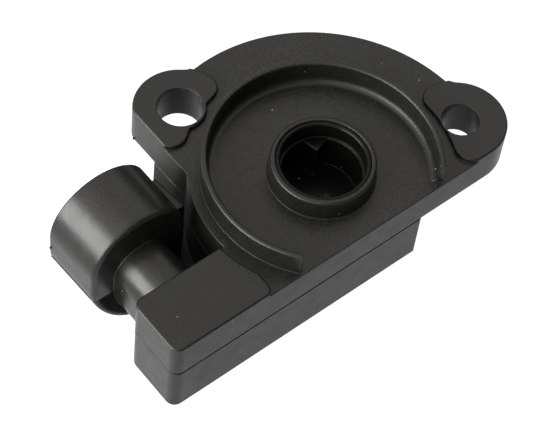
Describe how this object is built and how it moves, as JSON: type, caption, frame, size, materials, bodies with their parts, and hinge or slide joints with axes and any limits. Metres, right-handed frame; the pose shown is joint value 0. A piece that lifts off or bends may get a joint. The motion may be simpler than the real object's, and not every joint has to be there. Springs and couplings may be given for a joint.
{
  "type": "throttle position sensor",
  "caption": "Rotary throttle position sensor with a spring-returned rotor in a black moulded housing, screw ears, a pilot rim and a side plug.",
  "frame": {"origin": "on the rotor's axis, level with the seating pads", "axes": "+Z along the rotor's axis out of the seating side, +X along the straight front face towards the right ear, +Y away from that face"},
  "size_m": [0.0517, 0.0309, 0.0165],
  "materials": {
    "housing_plastic": "black glass-filled moulded plastic",
    "cover_plastic": "black glass-filled moulded plastic",
    "rotor_plastic": "black glass-filled moulded plastic",
    "seal_rubber": "nitrile rubber",
    "washer_steel": "stamped steel",
    "spring_steel": "spring steel",
    "card_laminate": "laminate",
    "resistor_ink": "carbon ink",
    "collector_ink": "silver ink",
    "wiper_brass": "spring brass",
    "terminal_brass": "tinned brass"
  },
  "bodies": {
    "housing_body": {"housing": "housing_plastic", "rear_cover": "cover_plastic", "shaft_seal": "seal_rubber", "seal_washer": "washer_steel", "return_spring": "spring_steel", "element_card": "card_laminate", "resistor_track": "resistor_ink", "collector_track": "collector_ink", "terminal_supply": "terminal_brass", "terminal_signal": "terminal_brass", "terminal_ground": "terminal_brass"},
    "rotor_body": {"rotor": "rotor_plastic", "wiper_contact": "wiper_brass"}
  },
  "joints": [
    {"name": "rotor_turn", "type": "hinge", "parent": "housing_body", "child": "rotor_body", "pos_m": [0, 0, 0], "axis": [0, 0, 1], "range_deg": [0, 105], "stiffness_Nm_per_rad": 0.01, "deforming": ["return_spring"]}
  ]
}
